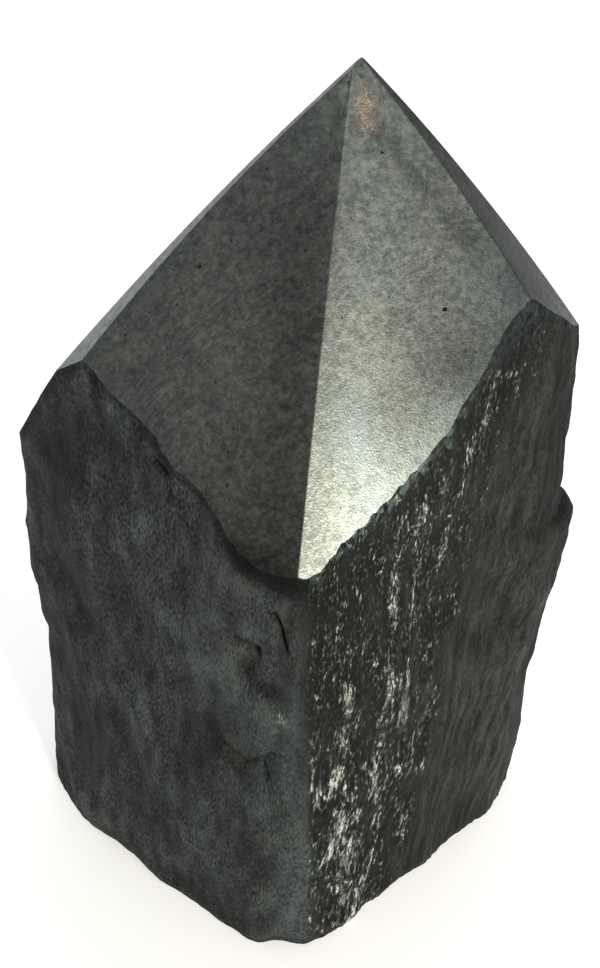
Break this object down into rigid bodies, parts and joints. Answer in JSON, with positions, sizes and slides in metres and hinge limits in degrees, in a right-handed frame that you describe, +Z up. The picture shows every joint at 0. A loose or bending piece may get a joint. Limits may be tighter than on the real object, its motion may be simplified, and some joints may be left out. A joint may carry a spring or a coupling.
{
  "type": "hematite specimen",
  "caption": "Rough stone column with a flat foot, ground at the top to a satin-polished, faceted point.",
  "frame": {"origin": "middle of the object's box in plan, on the surface that the stone stands on", "axes": "+Z up through the point, +X to the right and +Y to the back as the picture sees the stone"},
  "size_m": [0.0622, 0.0508, 0.095],
  "materials": {
    "hematite": "satin"
  },
  "bodies": {
    "root": {"hematite_point": "hematite"}
  },
  "joints": []
}
